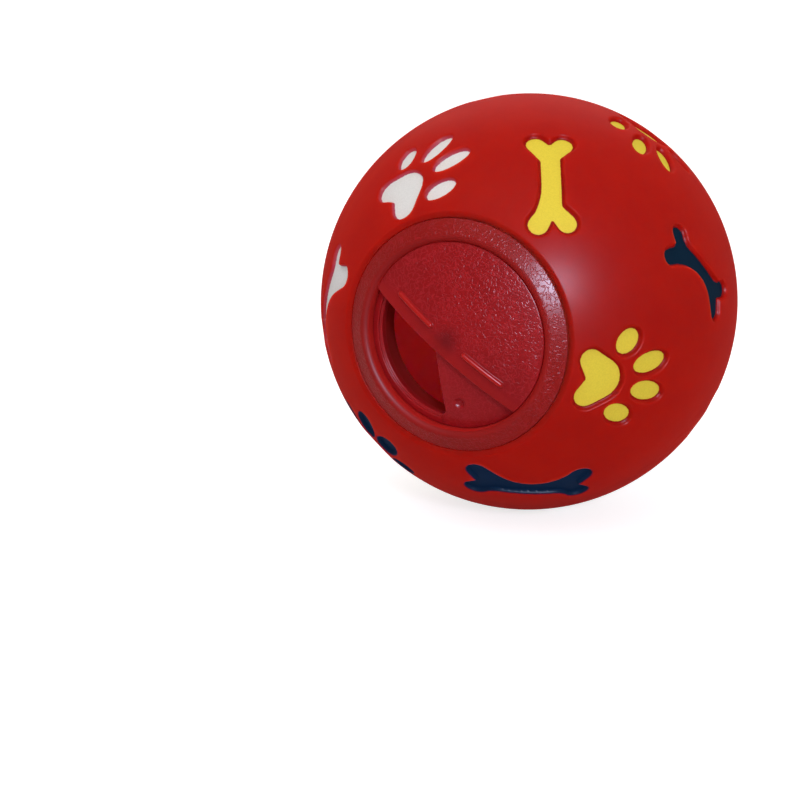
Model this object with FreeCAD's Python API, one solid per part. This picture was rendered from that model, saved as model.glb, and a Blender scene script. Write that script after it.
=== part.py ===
"""Treat ball: a hollow soft vinyl ball with a hard port that lets treats out.

The port is a bezel ring snapped into the ball's hole, a fixed plate keyed into the ring,
and a dial that turns on the plate. Plate and dial each leave out a segment of a disc, and
the part of the two openings that lies over each other is the gap that a treat falls through.

Everything is drawn in the port's own frame: +Z out of the port, +X to the right and +Y up
as seen from in front, with the ball's centre at zero. The last step stands the ball on its
lowest point, with the port facing -Y and +Z up.
"""
import FreeCAD, Part
import math
import os
from FreeCAD import Placement, Rotation, Vector

# Ball
ball_radius = 55.0
ball_wall = 3.0
motif_depth = 1.2

# Lip of soft vinyl round the port, sloping down to the bezel's edge
lip_width = 1.4
lip_drop = 1.2

# Bezel ring and its neck
bezel_outer_radius = 28.8
bezel_sink = 1.0
bezel_edge_gap = 0.05
flange_height = 2.2
bezel_edge_break = 0.6
bezel_inner_round = 1.4
neck_outer_radius = 24.9
neck_wall = 1.6
neck_ledge = 2.3
neck_fit = 0.2
neck_end_height = 37.5
snap_overhang = 1.5
snap_land = 0.8
snap_gap = 0.1
neck_tip_wall = 2.2

# Domes of plate and dial share one centre on the port's axis
dial_crown_height = 51.4
dial_dome_radius = 66.0
dial_thickness = 1.7
dial_gap = 0.4
plate_thickness = 1.8

# Fixed plate
plate_fit = 0.05
plate_rim_height = 3.0
plate_rim_width = 2.65
opening_offset = 4.3
opening_corner_radius = 1.5
opening_azimuth = 185.5
hub_radius = 4.1
hub_hole_radius = 2.1
hub_length = 4.0
hub_face_flat = 0.1

# Key that stops the plate from turning in the ring
key_width = 3.0
key_depth = 1.0
key_height = 1.7
key_fit = 0.1

# Dial
dial_fit = 0.3
dial_edge_offset = 4.2
dial_azimuth = 233.2
dial_edge_break = 0.25
collar_radius = 3.6
collar_gap = 0.1
stud_radius = 2.0
stud_snap_radius = 2.7
stud_snap_gap = 0.1
stud_snap_land = 0.7
stud_tip_length = 1.7
stud_tip_radius = 1.6
stud_slot_width = 1.0
stud_slot_clear = 0.6

# Finger ribs on the dial, on the diameter beside its straight edge
rib_inner_radius = 4.9
rib_outer_radius = 17.3
rib_width = 1.4
rib_height = 0.8

# Click stops: nubs under the dial drop into dimples in the plate
detent_radius = 16.5
dimple_radius = 1.4
dimple_depth = 0.4
nub_radius = 1.2
nub_height = 0.25

# Bone: four lobes, a notch between the two at each end, and a waisted shaft
bone_lobe_radius = 2.65
bone_lobe_along = 11.3
bone_lobe_across = 3.35
bone_notch_radius = 0.8
bone_notch_along = 12.2
bone_flare_radius = 4.0
bone_shaft_half_width = 2.3

# Paw: a pad of three rounds with a notch below, and four toes
pad_top_radius = 5.3
pad_top_height = -5.8
pad_lobe_radius = 2.9
pad_lobe_across = 4.6
pad_lobe_height = -8.6
pad_notch_radius = 3.6
pad_notch_height = -13.1

# Each toe: centre across and up, half its length, half its width, lean of its long axis
toes = [
    (-9.1, -0.1, 3.4, 2.35, 143.0),
    (-4.1, 6.8, 4.3, 2.45, 106.0),
    (3.7, 7.2, 4.35, 2.45, 87.0),
    (9.6, 0.9, 3.5, 2.5, 70.0),
]

# Motifs on the ball: kind, angle from the port's axis, azimuth, turn of the motif
motifs = [
    ("paw", 47.0, 112.0, -57.0),
    ("bone", 50.5, 62.5, 127.0),
    ("paw", 47.2, -10.5, 3.0),
    ("bone", 50.0, -69.0, 146.0),
    ("paw", 57.0, -130.0, 180.0),
    ("bone", 51.0, 176.0, 140.0),
    ("paw", 94.3, 55.4, 211.0),
    ("bone", 77.0, 16.0, 46.0),
    ("paw", 97.4, 107.3, -66.0),
    ("bone", 94.0, 150.0, 120.0),
    ("bone", 92.0, -170.0, 60.0),
    ("paw", 96.0, -122.0, -30.0),
    ("bone", 98.0, -78.0, 100.0),
    ("paw", 106.0, -32.0, 160.0),
    ("bone", 122.0, 6.0, 20.0),
    ("bone", 143.0, 62.0, 100.0),
    ("paw", 135.0, 118.0, 30.0),
    ("bone", 140.0, 174.0, 140.0),
    ("paw", 137.0, -130.0, 0.0),
    ("bone", 136.0, -66.0, 40.0),
    ("paw", 164.0, -30.0, 40.0),
]

# Azimuth that no motif crosses, where the round faces have their seam
seam_azimuth = 35.0

# Values that follow from those above
axis = Vector(0, 0, 1)
seat_radius = bezel_outer_radius + bezel_edge_gap
lip_radius = seat_radius + lip_width
bezel_dome_radius = ball_radius - bezel_sink
bore_radius = neck_outer_radius - neck_wall
neck_inner_radius = bore_radius - neck_ledge
plate_radius = bore_radius - plate_fit
opening_radius = plate_radius - plate_rim_width
dial_radius = bore_radius - dial_fit


def height_on(radius, reach, centre_height=0.0):
    """Height of a dome of this radius at the distance reach from the axis."""
    return centre_height + math.sqrt(radius * radius - reach * reach)


flange_top = height_on(bezel_dome_radius, bezel_outer_radius)
seat_height = flange_top - flange_height
port_hole_radius = neck_outer_radius + neck_fit
port_under_height = seat_height - ball_wall
dome_centre_height = dial_crown_height - dial_dome_radius
dial_under_radius = dial_dome_radius - dial_thickness
plate_dome_radius = dial_under_radius - dial_gap
plate_under_radius = plate_dome_radius - plate_thickness
plate_seat_height = height_on(plate_dome_radius, opening_radius, dome_centre_height) - plate_rim_height
hub_face_height = height_on(plate_dome_radius, hub_radius, dome_centre_height) - hub_face_flat
hub_end_height = hub_face_height - hub_length


def at(reach, height):
    """A point of a profile: its distance from the axis and its height along it."""
    return Vector(reach, 0, height)


def line(start, end):
    return Part.LineSegment(start, end).toShape()


def dome_arc(radius, start, end, centre_height=0.0):
    """Arc of a profile between two of its points, on a circle centred on the axis."""
    circle = Part.Circle(at(0, centre_height), Vector(0, -1, 0), radius)
    ends = sorted((circle.parameter(start), circle.parameter(end)))
    return Part.ArcOfCircle(circle, *ends).toShape()


def on_dome(radius, reach, centre_height=0.0):
    """Point of a dome's profile at the distance reach from the axis."""
    return at(reach, height_on(radius, reach, centre_height))


def rounded_mouth(radius, wall_reach, rounding):
    """Where a dome's profile meets the wall of a bore inside it: the points where the
    round starts on the dome and on the wall, and the round's arc."""
    reach = wall_reach + rounding
    height = height_on(radius - rounding, reach)
    share = radius / (radius - rounding)
    on_top = at(reach * share, height * share)
    on_wall = at(wall_reach, height)
    slope = math.atan2(on_top.z - height, reach - on_top.x) / 2
    middle = at(reach - rounding * math.cos(slope), height + rounding * math.sin(slope))
    return on_top, on_wall, Part.Arc(on_top, middle, on_wall).toShape()


def broken_edge(radius, wall_reach, size, centre_height=0.0):
    """Ends of the small bevel between a dome's profile and the wall round it."""
    on_top = on_dome(radius, wall_reach - size, centre_height)
    return on_top, at(wall_reach, on_dome(radius, wall_reach, centre_height).z - size)


def spin(edges):
    """Solid of revolution about the port's axis."""
    face = Part.Face(Part.Wire(edges))
    return face.revolve(Vector(0, 0, 0), axis, 360)


def path(points):
    """Straight edges from each point to the next."""
    return [line(start, end) for start, end in zip(points, points[1:])]


def tangent_loop(circles):
    """Closed outline that runs round each circle in turn and straight between them.

    A circle is (x, y, radius): anticlockwise round it where the radius is positive,
    and clockwise, as a hollow in the outline, where it is negative.
    """
    normals = []
    for here, there in zip(circles, circles[1:] + circles[:1]):
        across, up = there[0] - here[0], there[1] - here[1]
        share = (here[2] - there[2]) / math.hypot(across, up)
        turn = math.acos(max(-1.0, min(1.0, share)))
        normals.append(math.atan2(up, across) - turn)

    def on_circle(circle, angle):
        x, y, radius = circle
        return Vector(x + radius * math.cos(angle), y + radius * math.sin(angle), 0)

    edges = []
    for index, circle in enumerate(circles):
        arrive, leave = normals[index - 1], normals[index]
        if circle[2] > 0:
            sweep = (leave - arrive) % (2 * math.pi)
        else:
            sweep = -((arrive - leave) % (2 * math.pi))
        start, middle, end = (on_circle(circle, arrive + sweep * part) for part in (0, 0.5, 1))
        edges.append(Part.Arc(start, middle, end).toShape())
        following = on_circle(circles[(index + 1) % len(circles)], leave)
        if end.distanceToPoint(following) > 1e-4:
            edges.append(line(end, following))
    return Part.Face(Part.Wire(edges))


def bone_outline():
    """Bone along X, centred."""
    flare_height = bone_shaft_half_width + bone_flare_radius
    reach = bone_lobe_radius + bone_flare_radius
    flare_along = bone_lobe_along - math.sqrt(reach ** 2 - (flare_height - bone_lobe_across) ** 2)
    half = [
        (bone_lobe_along, -bone_lobe_across, bone_lobe_radius),
        (bone_notch_along, 0.0, -bone_notch_radius),
        (bone_lobe_along, bone_lobe_across, bone_lobe_radius),
        (flare_along, flare_height, -bone_flare_radius),
    ]
    other_half = [(-x, -y, radius) for x, y, radius in half]
    flares = [(-flare_along, flare_height, -bone_flare_radius),
              (flare_along, -flare_height, -bone_flare_radius)]
    return [tangent_loop(half + flares[:1] + other_half + flares[1:])]


def paw_outlines():
    """Pad and four toes, with the toes towards +Y."""
    pad = tangent_loop([
        (0.0, pad_top_height, pad_top_radius),
        (-pad_lobe_across, pad_lobe_height, pad_lobe_radius),
        (0.0, pad_notch_height, -pad_notch_radius),
        (pad_lobe_across, pad_lobe_height, pad_lobe_radius),
    ])
    outlines = [pad]
    for across, up, half_length, half_width, lean in toes:
        oval = Part.Wire(Part.Ellipse(Vector(0, 0, 0), half_length, half_width).toShape())
        oval.Placement = Placement(Vector(across, up, 0), Rotation(axis, lean))
        outlines.append(Part.Face(oval))
    return outlines


def motif_cutters():
    """Sunk shapes of all motifs: prisms towards the ball's centre with a round floor."""
    floor_radius = ball_radius - motif_depth
    top_radius = ball_radius + motif_depth
    layer = Part.makeSphere(top_radius).cut(Part.makeSphere(floor_radius))
    layer.rotate(Vector(0, 0, 0), axis, seam_azimuth)
    prisms = []
    for kind, polar, azimuth, turn in motifs:
        outlines = bone_outline() if kind == "bone" else paw_outlines()
        for face in outlines:
            prism = face.extrude(Vector(0, 0, ball_radius))
            prism.rotate(Vector(0, 0, 0), axis, turn - 90)
            prism.rotate(Vector(0, 0, 0), Vector(0, 1, 0), polar)
            prism.rotate(Vector(0, 0, 0), axis, azimuth)
            prisms.append(prism)
    return [layer.common(prism) for prism in prisms]


def ball_shell():
    """One-piece vinyl ball, open at the port, with a sunk seat for the bezel."""
    inner_radius = ball_radius - ball_wall
    inner_reach = math.sqrt(inner_radius ** 2 - port_under_height ** 2)
    back = at(0, -ball_radius)
    inner_back = at(0, -inner_radius)
    inner_front = at(inner_reach, port_under_height)
    lip_top = on_dome(ball_radius, lip_radius)
    lip_edge = on_dome(ball_radius - lip_drop, seat_radius)
    edges = [dome_arc(ball_radius, back, lip_top)]
    edges += path([
        lip_top,
        lip_edge,
        at(seat_radius, seat_height),
        at(port_hole_radius, seat_height),
        at(port_hole_radius, port_under_height),
        inner_front,
    ])
    edges.append(dome_arc(inner_radius, inner_front, inner_back))
    edges.append(line(inner_back, back))
    shell = spin(edges)
    shell.rotate(Vector(0, 0, 0), axis, seam_azimuth)
    sunk = shell.cut(motif_cutters())
    # The cut can leave a removed plug behind as a second solid, so the ball is picked by size
    return max(sunk.Solids, key=lambda solid: solid.Volume)


def port_ring():
    """Bezel with a neck whose snap bead grips behind the ball's wall."""
    snap_top = port_under_height - snap_gap
    snap_radius = neck_outer_radius + snap_overhang
    tip_radius = neck_inner_radius + neck_tip_wall
    inner_top, inner_wall, inner_round = rounded_mouth(
        bezel_dome_radius, bore_radius, bezel_inner_round)
    outer_top, outer_wall = broken_edge(bezel_dome_radius, bezel_outer_radius, bezel_edge_break)
    edges = [inner_round, dome_arc(bezel_dome_radius, inner_top, outer_top)]
    edges += path([
        outer_top,
        outer_wall,
        at(bezel_outer_radius, seat_height),
        at(neck_outer_radius, seat_height),
        at(neck_outer_radius, snap_top),
        at(snap_radius, snap_top),
        at(snap_radius, snap_top - snap_land),
        at(tip_radius, neck_end_height),
        at(neck_inner_radius, neck_end_height),
        at(neck_inner_radius, plate_seat_height),
        at(bore_radius, plate_seat_height),
        inner_wall,
    ])
    return spin(edges).fuse(key(key_width, 0.0)).removeSplitter()


def key(width, fit):
    """Block opposite the plate's opening, from the ring's wall inwards."""
    inner = bore_radius - key_depth - fit
    outer = (bore_radius + neck_outer_radius) / 2
    block = Part.makeBox(outer - inner, width, key_height + fit)
    block.translate(Vector(inner, -width / 2, plate_seat_height))
    block.rotate(Vector(0, 0, 0), axis, opening_azimuth - 180)
    return block


def base_plate():
    """Domed plate with a deep rim, a hub and a segment left out of it."""
    flat_reach = math.sqrt(plate_dome_radius ** 2 - (hub_face_height - dome_centre_height) ** 2)
    top_face = at(hub_hole_radius, hub_face_height)
    top_inner = at(flat_reach, hub_face_height)
    top_rim = on_dome(plate_dome_radius, plate_radius, dome_centre_height)
    under_rim = on_dome(plate_under_radius, opening_radius, dome_centre_height)
    under_hub = on_dome(plate_under_radius, hub_radius, dome_centre_height)
    edges = [line(top_face, top_inner),
             dome_arc(plate_dome_radius, top_inner, top_rim, dome_centre_height)]
    edges += path([
        top_rim,
        at(plate_radius, plate_seat_height),
        at(opening_radius, plate_seat_height),
        under_rim,
    ])
    edges.append(dome_arc(plate_under_radius, under_rim, under_hub, dome_centre_height))
    edges += path([
        under_hub,
        at(hub_radius, hub_end_height),
        at(hub_hole_radius, hub_end_height),
        top_face,
    ])
    plate = spin(edges)
    return plate.cut([plate_opening(), key(key_width + 2 * key_fit, key_fit)] + dimples())


def plate_opening():
    """Prism through the segment that the plate leaves out, with its two corners rounded."""
    corner_along = opening_offset + opening_corner_radius
    corner_reach = opening_radius - opening_corner_radius
    corner_across = math.sqrt(corner_reach ** 2 - corner_along ** 2)
    outline = tangent_loop([
        (corner_along, -corner_across, opening_corner_radius),
        (0.0, 0.0, opening_radius),
        (corner_along, corner_across, opening_corner_radius),
    ])
    prism = outline.extrude(axis * ball_radius)
    prism.rotate(Vector(0, 0, 0), axis, opening_azimuth)
    return prism


def at_detent(azimuth, height):
    angle = math.radians(azimuth)
    return Vector(detent_radius * math.cos(angle), detent_radius * math.sin(angle), height)


def cap_radius(reach, rise):
    """Radius of the sphere whose cap has this half width and height."""
    return (reach ** 2 + rise ** 2) / (2 * rise)


def dimples():
    """Two round dimples in the plate, a quarter turn either side of its opening."""
    radius = cap_radius(dimple_radius, dimple_depth)
    surface = height_on(plate_dome_radius, detent_radius, dome_centre_height)
    height = surface - dimple_depth + radius
    return [Part.makeSphere(radius, at_detent(opening_azimuth + side, height))
            for side in (-90, 90)]


def dial():
    """Turning shutter: a domed disc with one straight edge, on a split snap stud."""
    crown = at(0, dome_centre_height + dial_dome_radius)
    top_rim, top_wall = broken_edge(
        dial_dome_radius, dial_radius, dial_edge_break, dome_centre_height)
    under_rim = on_dome(dial_under_radius, dial_radius, dome_centre_height)
    under_collar = on_dome(dial_under_radius, collar_radius, dome_centre_height)
    collar_height = hub_face_height + collar_gap
    snap_top = hub_end_height - stud_snap_gap
    snap_low = snap_top - stud_snap_land
    stud_end = snap_low - stud_tip_length
    edges = [dome_arc(dial_dome_radius, crown, top_rim, dome_centre_height),
             line(top_rim, top_wall),
             line(top_wall, under_rim),
             dome_arc(dial_under_radius, under_rim, under_collar, dome_centre_height)]
    edges += path([
        under_collar,
        at(collar_radius, collar_height),
        at(stud_radius, collar_height),
        at(stud_radius, snap_top),
        at(stud_snap_radius, snap_top),
        at(stud_snap_radius, snap_low),
        at(stud_tip_radius, stud_end),
        at(0, stud_end),
        crown,
    ])
    disc = spin(edges)
    size = 2 * dial_radius
    segment = Part.makeBox(size, size, 2 * size, Vector(dial_edge_offset, -dial_radius, dome_centre_height))
    slot_top = collar_height - stud_slot_clear
    slot_reach = stud_snap_radius + stud_slot_clear
    slot = Part.makeBox(2 * slot_reach, stud_slot_width, slot_top - stud_end,
                        Vector(-slot_reach, -stud_slot_width / 2, stud_end))
    disc = disc.cut([segment, slot])
    disc = disc.fuse(finger_ribs() + nubs()).removeSplitter()
    disc.rotate(Vector(0, 0, 0), axis, dial_azimuth)
    return disc


def finger_ribs():
    """Two round-ended ribs in line, of one height above the dome."""
    sunk = dial_thickness / 2
    outer = Part.makeSphere(dial_dome_radius + rib_height, Vector(0, 0, dome_centre_height))
    inner = Part.makeSphere(dial_dome_radius - sunk, Vector(0, 0, dome_centre_height))
    layer = outer.cut(inner)
    end_radius = rib_width / 2
    ribs = []
    for side in (-1, 1):
        ends = sorted(side * reach for reach in
                      (rib_inner_radius + end_radius, rib_outer_radius - end_radius))
        outline = tangent_loop([(0.0, ends[0], end_radius), (0.0, ends[1], end_radius)])
        ribs.append(layer.common(outline.extrude(axis * ball_radius)))
    return ribs


def nubs():
    """Two low rounds under the dial, in line with its ribs."""
    radius = cap_radius(nub_radius, nub_height)
    surface = height_on(dial_under_radius, detent_radius, dome_centre_height)
    height = surface - nub_height + radius
    dome = Part.makeSphere(dial_dome_radius - dial_thickness / 2, Vector(0, 0, dome_centre_height))
    return [Part.makeSphere(radius, at_detent(side, height)).common(dome) for side in (-90, 90)]


def stand(shape):
    """Turn the port to face -Y and stand the ball on its lowest point."""
    shape.rotate(Vector(0, 0, 0), Vector(1, 0, 0), 90)
    shape.translate(Vector(0, 0, ball_radius))
    return shape


os.makedirs("parts", exist_ok=True)
pieces = {
    "ball_shell": ball_shell(),
    "port_ring": port_ring(),
    "base_plate": base_plate(),
    "dial": dial(),
}
for name, shape in pieces.items():
    solids = stand(shape).Solids
    whole = solids[0] if len(solids) == 1 else Part.makeCompound(solids)
    print(name, len(solids), "solid(s), volume", round(whole.Volume, 1), "valid", whole.isValid())
    whole.exportStep("parts/" + name + ".step")
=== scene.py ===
import math

import bpy
import numpy as np
from mathutils import Matrix, Vector


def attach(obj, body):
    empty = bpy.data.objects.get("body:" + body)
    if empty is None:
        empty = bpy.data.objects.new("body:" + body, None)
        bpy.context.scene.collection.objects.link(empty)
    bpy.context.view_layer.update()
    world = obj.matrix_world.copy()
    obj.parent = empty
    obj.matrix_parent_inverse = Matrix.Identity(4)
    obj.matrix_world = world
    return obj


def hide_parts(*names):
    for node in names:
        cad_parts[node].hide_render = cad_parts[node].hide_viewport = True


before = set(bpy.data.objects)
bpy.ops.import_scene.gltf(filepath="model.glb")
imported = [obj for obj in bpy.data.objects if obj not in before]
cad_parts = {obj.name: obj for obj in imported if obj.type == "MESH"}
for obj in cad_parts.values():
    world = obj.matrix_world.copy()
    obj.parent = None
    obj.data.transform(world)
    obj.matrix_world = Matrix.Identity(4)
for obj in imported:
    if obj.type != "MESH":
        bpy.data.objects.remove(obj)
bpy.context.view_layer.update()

# Shapes are worked out in millimetres in the port's own frame: +Z out of the port, +X to the
# right and +Y up as seen from in front, with the ball's centre at zero.


# Ball shell. A hollow ball of soft vinyl, cast in one piece in a turning mould, so its wall is
# even and the rims of its sunk bones and paws are soft. The motifs are sprayed through masks,
# and a lip slopes down to the hole that the port is snapped into.

ball_radius = 55.0
ball_wall = 3.0
motif_depth = 1.15
foot_margin = 0.35
wall_width = 0.8
lip_radius = 30.5
seat_radius = 28.85
seat_height = 43.48
hole_radius = 25.1

# How far outside the lip's radius its rounding starts, and the rows of the outer face end
lip_spread = 0.2
lip_run_up = 0.6

# The ball's mesh: columns round the port's axis, rows of the outer and of the inner face,
# rounds of halving, and the longest side near a motif's wall, which grows from some way off
ball_columns = 192
outer_rows = 88
inner_rows = 30
halving_rounds = 4
side_limit = 1.0
side_limit_reach = 0.6

vinyl_red = (0.45, 0.0085, 0.0040, 1.0)
vinyl_deep_red = (0.40, 0.0070, 0.0042, 1.0)
# The hollow side's colour, far paler and brighter than the vinyl: a painted glow for light
# shining in through the wall
inner_glow_red = (1.0, 0.34, 0.60, 1.0)
overspray_tint = (1.0, 0.40, 0.70)
shine_through = (1.0, 0.30, 0.15)

# Colour of each paint, with the strength of its overspray as a fourth number, and how far the
# paint itself reaches past the motif's outline
paint_colours = {
    "white": (0.81, 0.785, 0.76, 0.22),
    "yellow": (0.83, 0.645, 0.060, 0.0),
    "blue": (0.004, 0.019, 0.056, 0.9),
    "thin blue": (0.003, 0.017, 0.038, 0.3),
}
paint_reach = {"white": 0.35, "yellow": 0.0, "blue": 0.7, "thin blue": 0.1}

# From and up to how far inside the paint's edge the paint and its overspray come in, and how
# ragged the paint's edge is
paint_edge = (-0.04, 0.07)
overspray_edge = (-0.40, 0.05)
edge_raggedness = 0.16

# Kind, colour, angle from the port's axis, azimuth, turn and size of each motif
motifs = [
    ("slim paw", "white", 47.8, 110.6, -54.5, 1.0),
    ("bone", "yellow", 50.5, 62.5, 127.0, 1.0),
    ("paw", "yellow", 47.9, -12.2, 4.4, 1.0),
    ("bent bone", "blue", 50.4, -69.2, 146.5, 1.0),
    ("paw", "blue", 55.8, -131.0, 178.0, 1.03),
    ("bent bone", "white", 49.4, 176.4, 153.0, 1.0),
    ("slim paw", "yellow", 92.8, 54.6, 208.5, 1.0),
    ("bent bone", "thin blue", 76.0, 16.0, 218.7, 0.84),
    ("paw", "yellow", 97.4, 107.3, -66.0, 1.0),
    ("bone", "blue", 94.0, 150.0, 120.0, 1.0),
    ("bone", "white", 92.0, -170.0, 60.0, 1.0),
    ("paw", "yellow", 96.0, -122.0, -30.0, 1.0),
    ("bone", "white", 98.0, -78.0, 100.0, 1.0),
    ("paw", "blue", 106.0, -32.0, 160.0, 1.0),
    ("bone", "yellow", 122.0, 6.0, 20.0, 1.0),
    ("bone", "white", 143.0, 62.0, 100.0, 1.0),
    ("paw", "blue", 135.0, 118.0, 30.0, 1.0),
    ("bone", "yellow", 140.0, 174.0, 140.0, 1.0),
    ("paw", "white", 137.0, -130.0, 0.0, 1.0),
    ("bone", "blue", 136.0, -66.0, 40.0, 1.0),
    ("paw", "yellow", 164.0, -30.0, 40.0, 1.0),
]

# How far from its middle a motif's outline is looked for, in degrees
motif_reach = 24.0


def round_loop(circles, steps=10):
    """Points of a closed outline that runs round each circle and straight between them.

    A circle is (x, y, radius). The line between two circles touches both where their common
    normal is, at the angle of the line of centres less acos((r1 - r2) / distance). A negative
    radius makes a hollow, which the outline runs round clockwise.
    """
    circles = np.array(circles, float)
    following = np.roll(circles, -1, axis=0)
    across, up = (following - circles)[:, :2].T
    share = (circles[:, 2] - following[:, 2]) / np.hypot(across, up)
    leave = np.arctan2(up, across) - np.arccos(np.clip(share, -1, 1))
    arrive = np.roll(leave, 1)
    hollow = circles[:, 2] < 0
    sweep = np.where(hollow, -((arrive - leave) % (2 * np.pi)), (leave - arrive) % (2 * np.pi))
    angle = arrive[:, None] + sweep[:, None] * np.linspace(0, 1, steps)
    arcs = circles[:, None, :2] + circles[:, None, 2:] * np.dstack([np.cos(angle), np.sin(angle)])
    return arcs.reshape(-1, 2)


def bone_loops():
    """Two lobes with a notch between them at each end, and a nearly straight shaft whose four
    corners are small hollows."""
    return [round_loop([(12.2, -3.6, 2.4), (12.9, -0.3, -0.6), (12.3, 3.1, 2.35),
                        (6.2, 3.8, -1.6), (-0.5, 20.3, -18.0), (-7.3, 5.6, -1.8),
                        (-11.2, 3.3, 2.5), (-10.6, -0.1, -0.4), (-10.7, -3.5, 2.4),
                        (-5.8, -3.9, -1.5), (7.2, -3.5, -1.0)])]


def bent_bone_loops():
    """A bone whose shaft is waisted by one wide hollow above and two small ones below."""
    return [round_loop([(12.5, -4.0, 2.2), (12.4, -0.1, -0.5), (12.5, 4.4, 2.2),
                        (0.5, 15.0, -13.9), (-12.5, 4.4, 2.2), (-12.4, -0.1, -0.5),
                        (-12.5, -3.9, 2.2), (-6.6, -8.2, -5.2), (6.6, -8.2, -5.2)])]


def paw_loops(plump=1.0):
    """A pad of three rounds with a notch below, and four oval toes, more or less plump."""
    pad = [(0.1, -5.85, 5.3), (-4.4, -8.5, 2.75), (0.2, -9.6, -0.4), (4.7, -8.5, 2.8)]
    toes = np.array([(-9.2, 0.2, 3.4, 2.55, 140.0), (-3.85, 7.05, 4.5, 2.5, 105.0),
                     (3.55, 7.5, 4.45, 2.5, 81.0), (9.3, 0.75, 3.65, 2.45, 73.0)])
    centre_x, centre_y, long, short, lean = toes.T[:, :, None]
    lean = np.radians(lean)
    turn = np.linspace(0, 2 * np.pi, 32, endpoint=False)
    along, aside = long * np.cos(turn), plump * short * np.sin(turn)
    ovals = np.dstack([centre_x + along * np.cos(lean) - aside * np.sin(lean),
                       centre_y + along * np.sin(lean) + aside * np.cos(lean)])
    return [round_loop(pad), *ovals]


def inside_by(spots, loop):
    """Distance from each flat spot to a closed outline, positive inside it.

    The nearest point of each side is the spot's projection kept between the side's ends. A
    spot is inside where a ray from it along +x crosses an odd number of sides.
    """
    side = np.roll(loop, -1, axis=0) - loop
    from_start = spots[:, None] - loop
    share = np.clip((from_start * side).sum(2) / (side ** 2).sum(1), 0, 1)
    gap = from_start - share[..., None] * side
    nearest = np.sqrt((gap ** 2).sum(2).min(1))
    upward = from_start[..., 1] >= 0
    crosses = upward != (from_start[..., 1] - side[:, 1] >= 0)
    slope = np.divide(side[:, 0], side[:, 1], out=np.zeros(len(side)), where=side[:, 1] != 0)
    ahead = from_start[..., 0] < from_start[..., 1] * slope
    return np.where((crosses & ahead).sum(1) % 2 == 1, nearest, -nearest)


def motif_directions(polar, azimuth, turn):
    """Unit vectors of a motif on the ball: to its right, to its top and out of its middle."""
    polar, azimuth, turn = np.radians([polar, azimuth, turn])
    across, up = np.cos(azimuth), np.sin(azimuth)
    out = np.array([np.sin(polar) * across, np.sin(polar) * up, np.cos(polar)])
    away = np.array([np.cos(polar) * across, np.cos(polar) * up, -np.sin(polar)])
    beside = np.cross(out, away)
    right = np.sin(turn) * away - np.cos(turn) * beside
    return right, np.cross(out, right), out


def depth_inside_motifs(spots):
    """For spots on the ball, how far inside the nearest outline each is, negative outside, and
    the number of that motif. The outline is drawn on the motif's floor, so each spot is first
    brought down to it, and then seen straight from above."""
    loops = {"bone": bone_loops(), "bent bone": bent_bone_loops(), "paw": paw_loops(),
             "slim paw": paw_loops(plump=0.78)}
    spots = spots * (1 - motif_depth / ball_radius)
    reach = ball_radius * math.sin(math.radians(motif_reach))
    inside = np.full(len(spots), -reach)
    nearest = np.zeros(len(spots), int)
    for number, (kind, colour, polar, azimuth, turn, size) in enumerate(motifs):
        right, top, out = motif_directions(polar, azimuth, turn)
        flat = np.column_stack([spots @ right, spots @ top])
        near = np.flatnonzero((spots @ out > 0) & (np.hypot(*flat.T) < reach))
        found = np.max([inside_by(flat[near], loop * size) for loop in loops[kind]], axis=0)
        closer = found > inside[near]
        inside[near[closer]] = found[closer]
        nearest[near[closer]] = number
    return inside, nearest


def turned(profile, columns):
    """Surface of a profile of (reach, height) points turned about the port's axis: each point
    goes round a circle of its reach. A point on the axis is a single pole."""
    profile = np.array(profile, float)
    angle = np.linspace(0, 2 * np.pi, columns, endpoint=False)
    reach, height = profile[:, :1], profile[:, 1:]
    rings = np.dstack([reach * np.cos(angle), reach * np.sin(angle), height + 0 * angle])
    rows = len(profile)
    number = np.arange(rows * columns).reshape(rows, columns)
    number[profile[:, 0] < 1e-6] = number[profile[:, 0] < 1e-6, :1]
    here, there = number[:-1], number[1:]
    beside, opposite = np.roll(here, -1, axis=1), np.roll(there, -1, axis=1)
    faces = np.concatenate([np.dstack([here, beside, opposite]).reshape(-1, 3),
                            np.dstack([here, opposite, there]).reshape(-1, 3)])
    return cleaned(rings.reshape(-1, 3), faces)


def cleaned(points, faces):
    """Joins points that lie together, drops faces without area and points that no face uses,
    and faces all outwards, where the sum of the corner products, six times the volume, is
    positive."""
    rounded = np.round(points, 4) + 0.0
    first, same = np.unique(rounded, axis=0, return_index=True, return_inverse=True)[1:]
    points, faces = points[first], same.reshape(-1)[faces]
    a, b, c = faces.T
    faces = faces[(a != b) & (b != c) & (c != a)]
    a, b, c = points[faces].transpose(1, 0, 2)
    if (a * np.cross(b, c)).sum() < 0:
        faces = faces[:, ::-1]
    used, faces = np.unique(faces, return_inverse=True)
    return points[used], faces.reshape(-1, 3)


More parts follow.
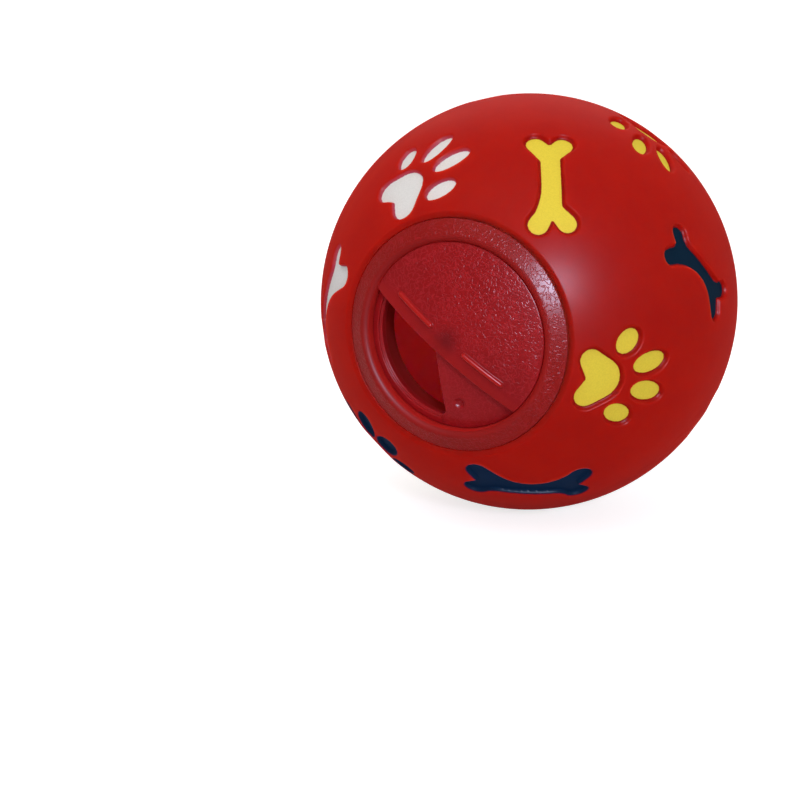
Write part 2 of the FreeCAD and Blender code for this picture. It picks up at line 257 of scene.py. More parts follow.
def split_sides(points, faces, where_to_cut):
    """Cuts each side where asked, and each triangle into the two, three or four that its cuts
    leave. where_to_cut takes the numbers of the sides' two ends and gives the share of the
    way at which each side is cut, or 0. The last thing returned is one end of each cut side."""
    ends = np.stack([faces, np.roll(faces, -1, axis=1)], axis=2)
    low, high = ends.min(2), ends.max(2)
    codes, place = np.unique(low * len(points) + high, return_inverse=True)
    low, high = codes // len(points), codes % len(points)
    share = where_to_cut(low, high)
    cut = share > 0
    middles = points[low[cut]] + share[cut, None] * (points[high[cut]] - points[low[cut]])
    number = np.where(cut, len(points) + np.cumsum(cut) - 1, -1)[place.reshape(-1, 3)]
    cuts = (number >= 0).sum(1)
    whole, parted = np.argmin(number >= 0, axis=1), np.argmax(number >= 0, axis=1)
    first = np.where(cuts == 2, (whole + 1) % 3, parted)
    order = (first[:, None] + np.arange(3)) % 3
    a, b, c = np.take_along_axis(faces, order, 1).T
    ab, bc, ca = np.take_along_axis(number, order, 1).T
    patterns = {
        0: [(a, b, c)],
        1: [(a, ab, c), (ab, b, c)],
        2: [(ab, b, bc), (a, ab, bc), (a, bc, c)],
        3: [(a, ab, ca), (ab, b, bc), (ca, bc, c), (ab, bc, ca)],
    }
    parts = [np.column_stack(corners)[cuts == count]
             for count, triples in patterns.items() for corners in triples]
    return np.concatenate([points, middles]), np.concatenate(parts), low[cut]


def make_piece(name, points, faces, body, stands_for):
    """Mesh object of triangles, turned so that the port faces -Y, stood on the floor and
    brought to metres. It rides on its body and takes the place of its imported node."""
    x, y, z = points.T
    standing = np.column_stack([x, -z, y + ball_radius]) / 1000
    mesh = bpy.data.meshes.new(name)
    mesh.vertices.add(len(points))
    mesh.vertices.foreach_set("co", standing.ravel())
    mesh.loops.add(faces.size)
    mesh.loops.foreach_set("vertex_index", faces.ravel())
    mesh.polygons.add(len(faces))
    mesh.polygons.foreach_set("loop_start", np.arange(0, faces.size, 3))
    mesh.update(calc_edges=True)
    mesh.shade_smooth()
    made = bpy.data.objects.new(name, mesh)
    bpy.context.scene.collection.objects.link(made)
    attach(made, body)
    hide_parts(stands_for)
    return made


def mark_points(made, name, values):
    """Keeps one number or one colour for each point of a piece, for its material to read."""
    values = np.asarray(values, np.float32)
    kind, field = ("FLOAT_COLOR", "color") if values.ndim == 2 else ("FLOAT", "value")
    made.data.attributes.new(name, kind, "POINT").data.foreach_set(field, values.ravel())


def ball_profile():
    """Outer face from the back pole to the lip, down the lip and its seat to the hole, and
    back along the inner face, which is a sphere one wall thinner."""
    lip_start = math.asin((lip_radius + lip_run_up) / ball_radius)
    polar = np.linspace(math.pi, lip_start, outer_rows)
    outer = np.column_stack([ball_radius * np.sin(polar), ball_radius * np.cos(polar)])
    outer[0, 0] = 0
    reach = np.array([30.8, 30.6, 30.42, 30.25, 30.05, 29.8, 29.5, 29.2, 29.0, 28.9, seat_radius])
    drop = np.array([0.0, 0.02, 0.07, 0.16, 0.29, 0.45, 0.65, 0.84, 0.95, 1.05, 1.35])
    lip = np.column_stack([reach, np.sqrt(ball_radius ** 2 - reach ** 2) - drop])
    under = seat_height - ball_wall
    seat = [(seat_radius, seat_height), (hole_radius, seat_height), (hole_radius, under)]
    inner_radius = ball_radius - ball_wall
    polar = np.linspace(math.acos(under / inner_radius), math.pi, inner_rows)
    inner = np.column_stack([inner_radius * np.sin(polar), inner_radius * np.cos(polar)])
    inner[-1, 0] = 0
    return np.concatenate([outer, lip, seat, inner])


lip_height = math.sqrt(ball_radius ** 2 - (lip_radius + lip_spread) ** 2)


def on_skin(spots):
    """True for spots of the outer face behind the lip, to within 0.1 mm."""
    return (np.linalg.norm(spots, axis=1) > ball_radius - 0.1) & (spots[:, 2] < lip_height)


def halve_long_sides(low, high):
    """Sides near a motif's wall are halved if longer than the limit. Beyond the limit's reach
    from the wall's middle, it grows by as much as the distance does."""
    starts, ends = ball_points[low], ball_points[high]
    middles = (starts + ends) / 2
    length = np.linalg.norm(ends - starts, axis=1)
    skin = on_skin(starts) & on_skin(ends) & (length > side_limit)
    away = np.full(len(middles), 99.0)
    spots = middles[skin] * (ball_radius / np.linalg.norm(middles[skin], axis=1))[:, None]
    away[skin] = np.abs(depth_inside_motifs(spots)[0] + foot_margin + wall_width / 2)
    return 0.5 * (length > side_limit + np.maximum(away - side_limit_reach, 0))


def cut_at(distance):
    """For split_sides: each side whose ends lie on two sides of this distance from the outline
    is cut where the distance is reached."""

    def share_of_way(low, high):
        start, end = rim_distance[low], rim_distance[high]
        return np.where((start - distance) * (end - distance) < 0,
                        (distance - start) / (end - start + 1e-12), 0)

    return share_of_way


ball_points, ball_faces = turned(ball_profile(), ball_columns)
for halving in range(halving_rounds):
    ball_points, ball_faces, ends = split_sides(ball_points, ball_faces, halve_long_sides)
    skin = on_skin(ball_points)
    ball_points[skin] *= (ball_radius / np.linalg.norm(ball_points[skin], axis=1))[:, None]
rim_distance = np.full(len(ball_points), -9.0)
motif_number = np.zeros(len(ball_points), int)
rim_distance[skin], motif_number[skin] = depth_inside_motifs(ball_points[skin])

# Each motif's wall, as distances past the outline and the depths there: a flat floor up to its
# foot, a steep wall and a quarter round. The mesh gets a line of points along each of them,
# and a point that lies nearly on a line is taken to lie on it.
wall_steps = foot_margin + np.array([-0.12, 0.0, 0.2, 0.35, 0.55, wall_width])
wall_depths = motif_depth * np.array([1.0, 1.0, 0.42, 0.145, 0.04, 0.0])
nearly = 0.05
for step in -wall_steps:
    rim_distance[np.abs(rim_distance - step) < nearly] = step
    ball_points, ball_faces, ends = split_sides(ball_points, ball_faces, cut_at(step))
    rim_distance = np.append(rim_distance, np.full(len(ends), step))
    motif_number = np.append(motif_number, motif_number[ends])
sunk_by = np.interp(-rim_distance, wall_steps, wall_depths)
ball_points *= (1 - sunk_by / ball_radius)[:, None]
ball = make_piece("ball_skin", ball_points, ball_faces, "root", "ball_shell")
reach_of_paint = np.array([paint_reach[colour] for kind, colour, *place in motifs])
mark_points(ball, "in_paint", rim_distance + reach_of_paint[motif_number])
motif_colours = np.array([paint_colours[colour] for kind, colour, *place in motifs])
mark_points(ball, "paint", motif_colours[motif_number])
inner_face = np.linalg.norm(ball_points, axis=1) < ball_radius - ball_wall + 0.01
mark_points(ball, "hollow_side", inner_face)


class Finish:
    """A node material under construction. Most methods add a node and give its output."""

    def __init__(self, name):
        self.material = bpy.data.materials.new(name)
        self.material.use_nodes = True
        self.tree = self.material.node_tree
        self.shader = self.tree.nodes["Principled BSDF"]

    def node(self, kind, inputs=(), **settings):
        """A node with these settings, whose inputs are given by name as values or outputs."""
        made = self.tree.nodes.new("ShaderNode" + kind)
        for name, value in settings.items():
            setattr(made, name, value)
        for name, value in dict(inputs).items():
            self.join(made.inputs[name], value)
        return made

    def join(self, socket, value):
        """Links an output to the socket, or sets the socket to a value."""
        if isinstance(value, bpy.types.NodeSocket):
            self.tree.links.new(value, socket)
        else:
            socket.default_value = value

    def sums(self, operation, first, second=0.0):
        """Result of a Math node's operation on two numbers."""
        return self.node("Math", {0: first, 1: second}, operation=operation).outputs[0]

    def place(self):
        """Coordinates of the piece itself, in metres."""
        return self.node("TexCoord").outputs["Object"]

    def noise(self, scale, detail=2.0, roughness=0.5):
        """Cloudy pattern from 0 to 1 with this many lumps to the metre."""
        return self.node("TexNoise", {"Vector": self.place(), "Scale": scale, "Detail": detail,
                                      "Roughness": roughness}).outputs["Fac"]

    def ramp(self, value, low, high, start=0.0, end=1.0):
        """Smooth step from start to end as the value goes from low to high."""
        inputs = {"Value": value, "From Min": low, "From Max": high,
                  "To Min": start, "To Max": end}
        return self.node("MapRange", inputs, interpolation_type="SMOOTHSTEP").outputs[0]

    def blend(self, share, first, second):
        """Colour that goes from the first to the second as the share goes from 0 to 1."""
        mix = self.node("Mix", {0: share, 6: first, 7: second}, data_type="RGBA")
        return mix.outputs[2]

    def bump(self, height, distance, below=None):
        """Surface lifted by height times distance, in metres, over another bump."""
        inputs = {"Height": height, "Distance": distance, "Strength": 1.0}
        if below is not None:
            inputs["Normal"] = below
        return self.node("Bump", inputs).outputs["Normal"]

    def set(self, **values):
        """Gives the shader its inputs, by name with underscores for blanks."""
        for name, value in values.items():
            self.join(self.shader.inputs[name.replace("_", " ")], value)

    def read(self, name):
        """Outputs of a point mark of this name. On a piece without it they are 0."""
        return self.node("Attribute", attribute_name=name, attribute_type="GEOMETRY").outputs


def vinyl_finish():
    """Satin vinyl with a faint cloudiness and fine orange peel, and some light coming through
    its wall. Its hollow side is painted a bright orange-pink, a painted glow that stands for
    light shining in through the wall. The paint covers the floor of each motif up to a crisp
    masked edge, with a fine mottle in it, and its overspray tints the wall outside that edge."""
    vinyl = Finish("soft_red_vinyl_with_sprayed_motifs")
    cloud = vinyl.ramp(vinyl.noise(55.0, 8.0, 0.7), 0.3, 0.7)
    red = vinyl.blend(cloud, vinyl_red, vinyl_deep_red)
    # The hollow side gets a painted glow, for light shining in through the wall
    red = vinyl.blend(vinyl.read("hollow_side")["Fac"], red, inner_glow_red)
    in_paint = vinyl.read("in_paint")["Fac"]
    ragged = vinyl.sums("SUBTRACT", vinyl.noise(1500.0, 2.0), 0.5)
    ragged = vinyl.sums("MULTIPLY", ragged, edge_raggedness)
    solid = vinyl.ramp(vinyl.sums("ADD", in_paint, ragged), *paint_edge)
    paint = vinyl.read("paint")
    haze = vinyl.sums("MULTIPLY", vinyl.ramp(in_paint, *overspray_edge), paint["Alpha"])
    mottle = vinyl.ramp(vinyl.noise(2600.0, 2.0), 0.35, 0.65, 1.0, 0.94)
    paint_colour = paint["Color"]
    mottled = vinyl.node("VectorMath", {0: paint_colour, "Scale": mottle}, operation="SCALE")
    tinted = vinyl.node("VectorMath", {0: paint_colour, 1: overspray_tint}, operation="MULTIPLY")
    dusted = vinyl.blend(haze, red, tinted.outputs[0])
    colour = vinyl.blend(solid, dusted, mottled.outputs[0])
    peel = vinyl.bump(vinyl.noise(1600.0, 2.0), 0.000008)
    wavy = vinyl.bump(vinyl.noise(70.0, 1.0), 0.00010, peel)
    rough = vinyl.ramp(vinyl.noise(300.0, 3.0), 0.3, 0.7, 0.36, 0.42)
    bare = vinyl.sums("SUBTRACT", 1.0, solid)
    vinyl.set(Base_Color=colour, Roughness=rough, Normal=wavy, Specular_IOR_Level=0.0,
              Coat_Weight=0.052, Coat_Roughness=0.37, Coat_Normal=wavy, Subsurface_Weight=bare,
              Subsurface_Radius=shine_through, Subsurface_Scale=0.018)
    return vinyl.material


ball.data.materials.append(vinyl_finish())


# Port ring. Injection-moulded hard plastic, snapped into the ball's hole by the bead round its
# neck. Its bezel follows the ball, with a fine leather grain on the outer band and a polished
# band inside, where it rolls over into the bore.

bezel_radius = 54.0
bezel_outer_radius = 28.8
bore_radius = 23.3
neck_radius = 24.9
neck_inner_radius = 21.0
neck_end = 37.5
neck_end_wall = 2.2
bead_overhang = 1.5
bead_land = 0.8
bead_gap = 0.1
ledge_height = 42.89
bezel_inner_round = 1.4
bezel_outer_round = 0.45
ring_columns = 256

# Where the grain starts, over how much it fades in, and the height that it stays above
grain_inner_radius = 24.6
grain_fade = 0.6
grain_foot = 44.0

# How far from the bore's wall the plastic is painted a brighter red, a painted glow that
# lightens the shade of the gap round the dial, and over how much that fades
glow_reach = 0.3
glow_fade = 0.2

port_red = (0.295, 0.0065, 0.0046, 1.0)
# Lighter red painted on the tops of the grain's worms: a painted sheen
crest_sheen_red = (0.37, 0.013, 0.018, 1.0)
# Brighter red painted on thin plastic and in narrow gaps: a painted glow
glow_red = (0.46, 0.012, 0.009, 1.0)
# Darker red painted over a hollow: a painted shade
sink_shade_red = (0.13, 0.002, 0.004, 1.0)


def quarter_round(centre, radius, start, end, steps=6):
    """Points of a profile along an arc, its angles in degrees from +reach towards +height."""
    angle = np.radians(np.linspace(start, end, steps))
    return list(zip(centre[0] + radius * np.cos(angle), centre[1] + radius * np.sin(angle)))


def ring_profile():
    """From the foot of the bore up over the bezel and down its edge, the neck and the snap
    bead, as one closed line round the ring's section. Each round touches the bezel's sphere
    on the ray from the ball's centre through the round's own centre."""
    reach = bore_radius + bezel_inner_round
    height = math.sqrt((bezel_radius - bezel_inner_round) ** 2 - reach ** 2)
    touch = math.degrees(math.atan2(height, reach))
    inner = quarter_round((reach, height), bezel_inner_round, 180, touch, 9)
    reach = bezel_outer_radius - bezel_outer_round
    height = math.sqrt((bezel_radius - bezel_outer_round) ** 2 - reach ** 2)
    touch = math.degrees(math.atan2(height, reach))
    outer = quarter_round((reach, height), bezel_outer_round, touch, 0, 6)
    reach = np.linspace(inner[-1][0], outer[0][0], 14)[1:-1]
    dome = list(zip(reach, np.sqrt(bezel_radius ** 2 - reach ** 2)))
    under = seat_height - ball_wall - bead_gap
    bead = neck_radius + bead_overhang
    back = [(bezel_outer_radius, seat_height), (neck_radius, seat_height), (neck_radius, under),
            (bead, under), (bead, under - bead_land),
            (neck_inner_radius + neck_end_wall, neck_end), (neck_inner_radius, neck_end),
            (neck_inner_radius, ledge_height), (bore_radius, ledge_height)]
    outline = inner + dome + outer + back
    return outline + outline[:1]


def hard_edges(profile, close=0.06):
    """Each corner of a profile gets a second point a hair away on either side, so that smooth
    shading stays flat between corners."""
    profile = np.array(profile, float)
    step = np.diff(profile, axis=0)
    length = np.linalg.norm(step, axis=1)
    wide = length > 4 * close
    start = profile[:-1][wide] + step[wide] * (close / length[wide])[:, None]
    end = profile[1:][wide] - step[wide] * (close / length[wide])[:, None]
    parted = np.flatnonzero(wide)
    order = np.concatenate([np.arange(len(profile)), parted + 0.3, parted + 0.6])
    return np.concatenate([profile, start, end])[np.argsort(order)]


def port_finish(name, colour, lumps, height, crest_sheen, roughness, smooth_roughness=None):
    """Glossy red plastic. Its leather grain is a maze of rounded worms, where a cloudy pattern
    of one size crosses its middle value, and the tops of the worms are painted a lighter red,
    a painted sheen. The mark "grain" fades it in, the mark "thin" gives a brighter red, a
    painted glow for light coming through thin plastic or into a narrow gap, and the mark
    "sunken" a darker red, a painted shade over a hollow. Where there is no grain the plastic
    may have a roughness of its own."""
    plastic = Finish(name)
    grain_here = plastic.read("grain")["Fac"]
    cloudy = plastic.node("TexNoise", {"Vector": plastic.place(), "Scale": lumps, "Detail": 0.0,
                                       "Distortion": 0.6}).outputs["Fac"]
    if smooth_roughness is not None:
        roughness = plastic.ramp(grain_here, 0.0, 1.0, smooth_roughness, roughness)
    off_middle = plastic.sums("ABSOLUTE", plastic.sums("SUBTRACT", cloudy, 0.5))
    worms = plastic.ramp(off_middle, 0.01, 0.10, 1.0, 0.0)
    grained = plastic.sums("MULTIPLY", worms, grain_here)
    grain = plastic.bump(grained, height)
    swirl = plastic.bump(plastic.noise(120.0, 1.0), 0.00006, grain)
    darker = tuple(0.88 * part for part in colour[:3]) + (1.0,)
    cloud = plastic.ramp(plastic.noise(70.0, 2.0), 0.35, 0.65)
    tone = plastic.blend(cloud, colour, darker)
    # The tops of the grain's worms get a painted sheen
    tone = plastic.blend(plastic.sums("MULTIPLY", grained, crest_sheen), tone, crest_sheen_red)
    # Painted glow on thin plastic and in narrow gaps
    tone = plastic.blend(plastic.read("thin")["Fac"], tone, glow_red)
    # Painted shade over a hollow
    tone = plastic.blend(plastic.read("sunken")["Fac"], tone, sink_shade_red)
    plastic.set(Base_Color=tone, Roughness=roughness, Specular_IOR_Level=0.07, Normal=swirl,
                Subsurface_Weight=0.3, Subsurface_Radius=shine_through, Subsurface_Scale=0.003)
    return plastic.material


ring_points, ring_faces = turned(hard_edges(ring_profile()), ring_columns)
ring = make_piece("port_ring_skin", ring_points, ring_faces,
                  "root", "port_ring")
ring_reach = np.hypot(ring_points[:, 0], ring_points[:, 1])
outer_band = np.clip((ring_reach - grain_inner_radius) / grain_fade, 0, 1)
mark_points(ring, "grain", outer_band * (ring_points[:, 2] > grain_foot))
# Brighter red painted on the bore's wall: a painted glow that lightens the shade of the gap round
# the dial
bore_glow = np.clip((bore_radius + glow_reach - ring_reach) / glow_fade, 0, 1)
mark_points(ring, "thin", bore_glow * (ring_reach > bore_radius - glow_reach))
ring.data.materials.append(port_finish("bezel_plastic", port_red, lumps=1050.0, height=0.000050,
                                       crest_sheen=0.5, roughness=0.33, smooth_roughness=0.5))


# Base plate. A domed plate of the same hard plastic, keyed into the bore, with a fine grain.
# A segment is left out of it beside a smooth stepped ledge, its hub takes the dial's stud,
# and two dimples give the dial its click stops.

dome_centre = -14.6
plate_dome_radius = 63.9
plate_radius = 23.25
plate_thickness = 1.8
opening_offset = 4.3
opening_radius = 20.6
corner_radius = 1.5
opening_azimuth = 185.5
dimple_offset = 16.5
dimple_radius = 1.35
dimple_depth = 0.9
plate_edge_roll = 0.25
ledge_half_angle = 76
ledge_columns = 120
hub_hole_radius = 2.1
hub_radius = 4.1
hub_foot = 45.0
hub_fold = 0.07
hub_top = 47.5
hub_columns = 48
edge_fade = 0.4

plate_red = (0.335, 0.0080, 0.0110, 1.0)


def dome_height(radius, x, y):
    """Height of a dome centred on the axis: its centre plus sqrt(radius2 - x2 - y2)."""
    return dome_centre + np.sqrt(radius ** 2 - x ** 2 - y ** 2)


def rolled(gap, roll):
    """How far a top face drops by a rounded edge, gap being the distance to that edge."""
    inner = roll - np.clip(gap, 0, roll)
    return roll - np.sqrt(roll ** 2 - inner ** 2)


def positions(*runs):
    """Positions in runs of (start, end, number of steps) that follow each other."""
    steps = [np.linspace(start, end, count, endpoint=False) for start, end, count in runs]
    return np.concatenate([*steps, [runs[-1][1]]])


def thick_sheet(top, under):
    """Solid between two grids of points of one size, with a skirt that joins their borders
    and has a row a hair away from each, so that the edges stay crisp."""
    rows, columns = top.shape[:2]
    number = np.arange(rows * columns).reshape(rows, columns)

    def two_triangles(a, b, c, d):
        return np.concatenate([np.stack(corners, -1).reshape(-1, 3)
                               for corners in ([a, b, c], [a, c, d])])

    def border(grid):
        return np.concatenate([grid[:-1, -1], grid[-1, :0:-1], grid[:0:-1, 0], grid[0, :-1]])

    upper = two_triangles(number[:-1, :-1], number[1:, :-1], number[1:, 1:], number[:-1, 1:])
    share = np.array([0.0, 0.04, 0.96, 1.0])[:, None, None]
    skirt = border(top) * (1 - share) + border(under) * share
    ring = np.arange(skirt[..., 0].size).reshape(skirt.shape[:2]) + 2 * number.size
    after = np.roll(ring, -1, axis=1)
    sides = two_triangles(ring[:-1], after[:-1], after[1:], ring[1:])
    points = np.concatenate([top.reshape(-1, 3), under.reshape(-1, 3), skirt.reshape(-1, 3)])
    return cleaned(points, np.concatenate([upper, upper[:, ::-1] + number.size, sides]))


def joined(*surfaces):
    """Several closed surfaces as one list of points and one of faces."""
    starts = np.cumsum([0] + [len(points) for points, faces in surfaces[:-1]])
    return (np.concatenate([points for points, faces in surfaces]),
            np.concatenate([faces + start for (points, faces), start in zip(surfaces, starts)]))


def about_axis(points, azimuth):
    """Points turned about the port's axis by this many degrees."""
    c, s = math.cos(math.radians(azimuth)), math.sin(math.radians(azimuth))
    return points @ np.array([[c, s, 0], [-s, c, 0], [0, 0, 1]])


def plate_web():
    """Rows across the plate, each from its round edge to the straight edge of the opening,
    which a rounded corner carries out to the ledge. They lie closer by the edges and by the
    dimples. The top drops by the rolled edge and by the two dimples, which are caps of a
    sphere of radius (r2 + d2) / 2d for their own radius r and depth d."""
    y = positions((-plate_radius, -22.9, 6), (-22.9, -18.0, 22), (-18.0, -15.0, 24),
                  (-15.0, 15.0, 44), (15.0, 18.0, 24), (18.0, 22.9, 22),
                  (22.9, plate_radius, 6))[:, None]
    share = positions((0.0, 0.02, 6), (0.02, 0.66, 30), (0.66, 0.82, 22), (0.82, 0.98, 8),
                      (0.98, 1.0, 8))
    left = -np.sqrt(np.maximum(plate_radius ** 2 - y ** 2, 0))
    corner_x = opening_offset + corner_radius
    corner_y = math.sqrt((opening_radius - corner_radius) ** 2 - corner_x ** 2)
    past = np.clip(np.abs(y) - corner_y, 0, corner_radius)
    straight = corner_x - np.sqrt(corner_radius ** 2 - past ** 2)
    right = np.minimum(straight, -left)
    x = left + (right - left) * share
    y = y + 0 * x
    to_opening = np.where(np.abs(y) < corner_y + 1, right - x, 9.0)
    gap = np.minimum(to_opening, plate_radius - np.hypot(x, y))
    cap = (dimple_radius ** 2 + dimple_depth ** 2) / (2 * dimple_depth)
    off = np.hypot(x, np.abs(y) - dimple_offset)
    dimple = np.sqrt(np.maximum(cap ** 2 - off ** 2, 0)) - (cap - dimple_depth)
    top = dome_height(plate_dome_radius, x, y) - rolled(gap, plate_edge_roll)
    top = top - np.maximum(dimple, 0)
    under = dome_height(plate_dome_radius - plate_thickness, x, y)
    return thick_sheet(np.dstack([x, y, top]), np.dstack([x, y, under]))


def plate_ledge():
    """The plate's rim, carried round beside the opening: the dome from its outer edge in, a
    rounded step down to a narrow ledge, and the wall of the opening."""
    reach = positions((22.9, 21.6, 5))
    dome = list(zip(reach, dome_height(plate_dome_radius, reach, 0)))
    outer, step = dome[0][1], dome[-1][1]
    top = [(plate_radius, outer - 0.35), (23.18, outer - 0.16), (23.06, outer - 0.06), *dome]
    top += [(21.48, step), (21.41, step - 0.07), (21.38, step - 0.2), (21.34, step - 0.5),
            (21.24, step - 0.62), (21.1, step - 0.64), (20.82, step - 0.6), (20.7, step - 0.63),
            (20.63, step - 0.72), (opening_radius, step - 0.95)]
    reach, height = np.array(top).T
    angle = np.linspace(-ledge_half_angle, ledge_half_angle, ledge_columns)
    angle = np.radians(angle)[:, None]
    upper = np.dstack([reach * np.cos(angle), reach * np.sin(angle), height + 0 * angle])
    lower = upper.copy()
    lower[..., 2] = ledge_height
    return thick_sheet(upper, lower)


# The hub's hole reaches below the hub's foot in a fold without thickness. The web above has no
# hole: the stud goes through it unseen, under the dial.
hub_profile = hard_edges([(hub_hole_radius, hub_foot), (hub_hole_radius, hub_foot + hub_fold),
                          (hub_radius, hub_foot + hub_fold), (hub_radius, hub_top),
                          (hub_hole_radius, hub_top), (hub_hole_radius, hub_foot)])
plate_points, plate_faces = joined(plate_web(), plate_ledge(), turned(hub_profile, hub_columns))
web_part = plate_points[:, 0] < opening_offset + corner_radius + 0.01
plate_reach = np.hypot(plate_points[:, 0], plate_points[:, 1])
plate_grain = web_part * np.clip((plate_radius - plate_reach) / edge_fade, 0, 1)
plate = make_piece("base_plate_skin", about_axis(plate_points, opening_azimuth), plate_faces,
                   "root", "base_plate")
mark_points(plate, "grain", plate_grain)
plate.data.materials.append(port_finish("plate_plastic", plate_red, lumps=1150.0, height=0.000026,
                                        crest_sheen=0.8, roughness=0.30))


# Dial. A domed disc with one straight edge that turns on the plate, held by a split stud that
# is snapped through the hub. It is grained, apart from two finger ribs and the band between
# them and the straight edge, and the stud has left a faint sink mark at its middle.

dial_dome_radius = 66.0
dial_thickness = 1.7
dial_radius = 23.3
dial_edge = 4.2
dial_azimuth = 233.2
dial_edge_roll = 0.25
rib_ends = (5.6, 16.6)
rib_half_width = 0.7
rib_height = 0.8
sink_radius = 3.6
sink_depth = 0.10
stud_flange_radius = 3.6
stud_flange_top = 50.2
stud_flange_foot = 49.2
stud_radius = 2.0
stud_bead_radius = 2.7
stud_bead_top = 44.9
stud_bead_foot = 44.2
stud_tip_radius = 1.6
stud_tip = 42.5

dial_red = (0.315, 0.0055, 0.0075, 1.0)


def off_rib(x, y):
    """Distance from the middle line of the nearer finger rib, which ends in half rounds."""
    past = np.maximum(np.maximum(rib_ends[0] - np.abs(y), np.abs(y) - rib_ends[1]), 0)
    return np.hypot(x, past)


def dial_disc():
    """Columns across the disc, each from round edge to round edge, up to the straight edge.
    The top is the dome less its rolled edge and the sink mark, plus the ribs, which rise by a
    smooth step from their foot to half their width."""
    x = positions((-dial_radius, -22.6, 6), (-22.6, -1.1, 36), (-1.1, 1.1, 24), (1.1, 3.8, 6),
                  (3.8, dial_edge, 10))[:, None]
    half = positions((0.0, 0.19, 8), (0.19, 0.28, 12), (0.28, 0.69, 14), (0.69, 0.78, 12),
                     (0.78, 0.98, 10), (0.98, 1.0, 14))
    share = np.concatenate([-half[:0:-1], half])
    y = share * np.sqrt(np.maximum(dial_radius ** 2 - x ** 2, 0))
    x = x + 0 * y
    gap = np.minimum(dial_edge - x, dial_radius - np.hypot(x, y))
    rise = np.clip((rib_half_width - off_rib(x, y)) / (0.75 * rib_half_width), 0, 1)
    sink = np.clip(1 - (x ** 2 + y ** 2) / sink_radius ** 2, 0, 1) ** 2
    top = dome_height(dial_dome_radius, x, y) - rolled(gap, dial_edge_roll) - sink_depth * sink
    top = top + rib_height * np.sqrt(1 - (1 - rise) ** 2)
    under = dome_height(dial_dome_radius - dial_thickness, x, y)
    return thick_sheet(np.dstack([x, y, top]), np.dstack([x, y, under]))


stud_profile = hard_edges([(0.0, stud_flange_top), (stud_flange_radius, stud_flange_top),
                           (stud_flange_radius, stud_flange_foot),
                           (stud_radius, stud_flange_foot), (stud_radius, stud_bead_top),
                           (stud_bead_radius, stud_bead_top), (stud_bead_radius, stud_bead_foot),
                           (stud_tip_radius, stud_tip), (0.0, stud_tip)])
dial_points, dial_faces = joined(dial_disc(), turned(stud_profile, hub_columns))
dial = make_piece("dial_skin", about_axis(dial_points, dial_azimuth), dial_faces,
                  "dial", "dial")

# The grain fades towards the band beside the straight edge, and stops short of the ribs and of
# the round edge. The ribs and that band are smooth, and are painted a brighter red: a painted
# glow for light coming through thin plastic.
dial_x, dial_y = dial_points[:, :2].T
dial_reach, from_rib = np.hypot(dial_x, dial_y), off_rib(dial_x, dial_y)
beside_ribs = 1 - 0.8 * np.clip((dial_x + 0.2) / 1.6, 0, 1)
clear_of_ribs = np.clip((from_rib - 0.8) / 0.5, 0, 1)
inside_edge = np.clip((dial_radius - dial_reach) / edge_fade, 0, 1)
mark_points(dial, "grain", beside_ribs * clear_of_ribs * inside_edge)
# The ribs and the band beside the straight edge are painted brighter: a painted glow for light
# coming through thin plastic
rib_glow = np.clip(1.2 - from_rib / rib_half_width, 0, 0.8)
band_glow = 0.15 * np.clip(dial_x - 1.4, 0, 1)
mark_points(dial, "thin", rib_glow + band_glow)
# Darker towards the dial's middle: a painted shade over the sink mark
mark_points(dial, "sunken", 0.7 * np.clip(1.2 - dial_reach / sink_radius, 0, 1))
dial.data.materials.append(port_finish("dial_plastic", dial_red, lumps=1000.0, height=0.000030,
                                       crest_sheen=0.9, roughness=0.30))


# Floor: a plain pale sheet. What the camera sees of it, straight or in a gloss, is lifted to
# white, less its shadow.

floor_grey = 0.58
floor_lift = 0.75

floor_mesh = bpy.data.meshes.new("floor")
floor_mesh.from_pydata([(-6, -6, 0), (6, -6, 0), (6, 12, 0), (-6, 12, 0)], [], [(0, 1, 2, 3)])
floor = bpy.data.objects.new("floor", floor_mesh)
bpy.context.scene.collection.objects.link(floor)
floor_finish = Finish("pale_floor")
floor_finish.set(Base_Color=(floor_grey, floor_grey, floor_grey, 1.0), Roughness=0.9)
ray = floor_finish.node("LightPath").outputs
seen = floor_finish.sums("ADD", ray["Is Camera Ray"], ray["Is Glossy Ray"])
seen = floor_finish.sums("ADD", seen, ray["Is Transmission Ray"])
floor_finish.set(Emission_Color=(1, 1, 1, 1),
                 Emission_Strength=floor_finish.sums("MULTIPLY", seen, floor_lift))
floor_mesh.materials.append(floor_finish.material)


# Camera: the photograph was taken from the right and a little above, about 450 mm away.

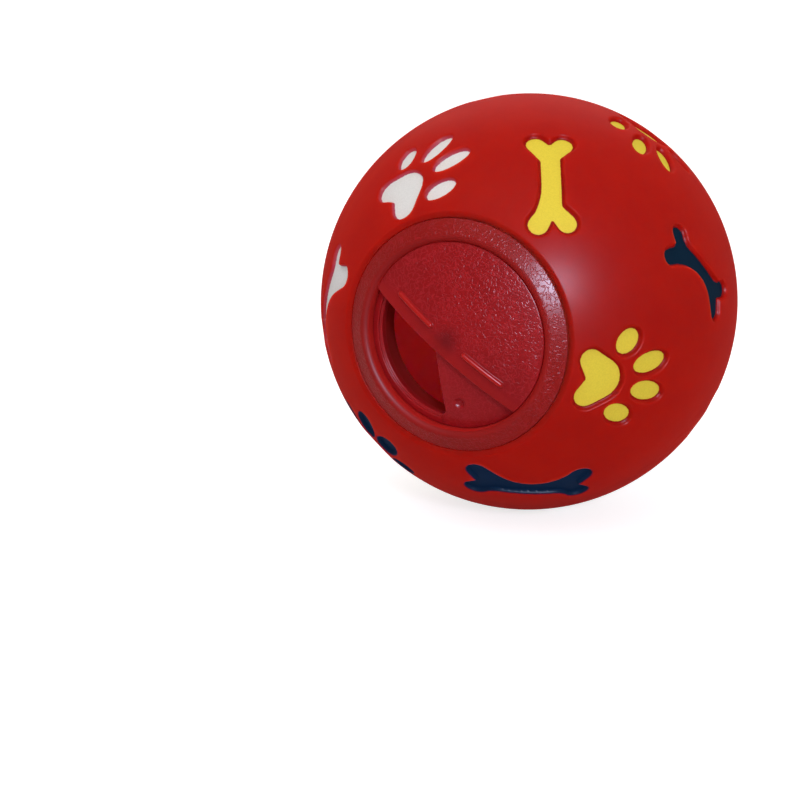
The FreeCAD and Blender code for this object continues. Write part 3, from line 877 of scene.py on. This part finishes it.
camera_data = bpy.data.cameras.new("camera")
camera_data.sensor_width = 36.0
camera_data.lens = 75.64
camera_data.clip_start = 0.01
camera = bpy.data.objects.new("camera", camera_data)
bpy.context.scene.collection.objects.link(camera)
right = Vector((0.89714526, 0.44173565, 0.0))
upward = Vector((-0.11119056, 0.22582303, 0.96780195))
backward = Vector((0.42751263, -0.86825893, 0.25171289))
turn = Matrix((right, upward, backward)).transposed().to_4x4()
camera.matrix_world = Matrix.Translation((0.163955, -0.409786, 0.142716)) @ turn
bpy.context.scene.camera = camera


# Light: soft boxes to the right, above and behind, in a pale studio. What is seen of the studio
# itself, straight, in a gloss or through a piece, is white. The glint and back boxes light
# glosses only.

studio_light = 0.45


def soft_box(name, direction, distance, size, power):
    """Square lamp at this distance from the ball's centre in that direction, facing it."""
    lamp = bpy.data.lights.new(name, "AREA")
    lamp.size = size
    lamp.energy = power
    box = bpy.data.objects.new(name, lamp)
    bpy.context.scene.collection.objects.link(box)
    place = Vector(direction).normalized()
    box.location = place * distance + Vector((0, 0, ball_radius / 1000))
    box.rotation_euler = place.to_track_quat("Z", "Y").to_euler()
    return box


key_side = (0.562, -0.746, 0.358)
soft_box("key_box", key_side, 1.1, 0.16, 2.5)
glint_box = soft_box("glint_box", key_side, 1.1, 0.18, 82.0)
glint_box.visible_diffuse = False
glint_box.data.color = (0.66, 0.74, 1.0)
soft_box("front_box", (-0.05, -0.50, 0.87), 1.3, 1.0, 6.6)
back_box = soft_box("back_box", (-0.30, 0.78, 0.62), 1.3, 1.1, 9.0)
back_box.visible_diffuse = False

world = bpy.data.worlds.new("studio")
bpy.context.scene.world = world
world.use_nodes = True
nodes, links = world.node_tree.nodes, world.node_tree.links
background = nodes["Background"].inputs
background["Color"].default_value = (1.0, 1.0, 1.0, 1.0)
world_ray = nodes.new("ShaderNodeLightPath").outputs
lifted_before = None
for seen_by in ("Is Camera Ray", "Is Glossy Ray", "Is Transmission Ray"):
    lifted = nodes.new("ShaderNodeMath")
    lifted.operation = "MULTIPLY_ADD"
    links.new(world_ray[seen_by], lifted.inputs[0])
    lifted.inputs[1].default_value = 1 - studio_light
    lifted.inputs[2].default_value = studio_light
    if lifted_before is not None:
        links.new(lifted_before.outputs[0], lifted.inputs[2])
    lifted_before = lifted
links.new(lifted_before.outputs[0], background["Strength"])

bpy.context.scene.view_settings.view_transform = "Standard"
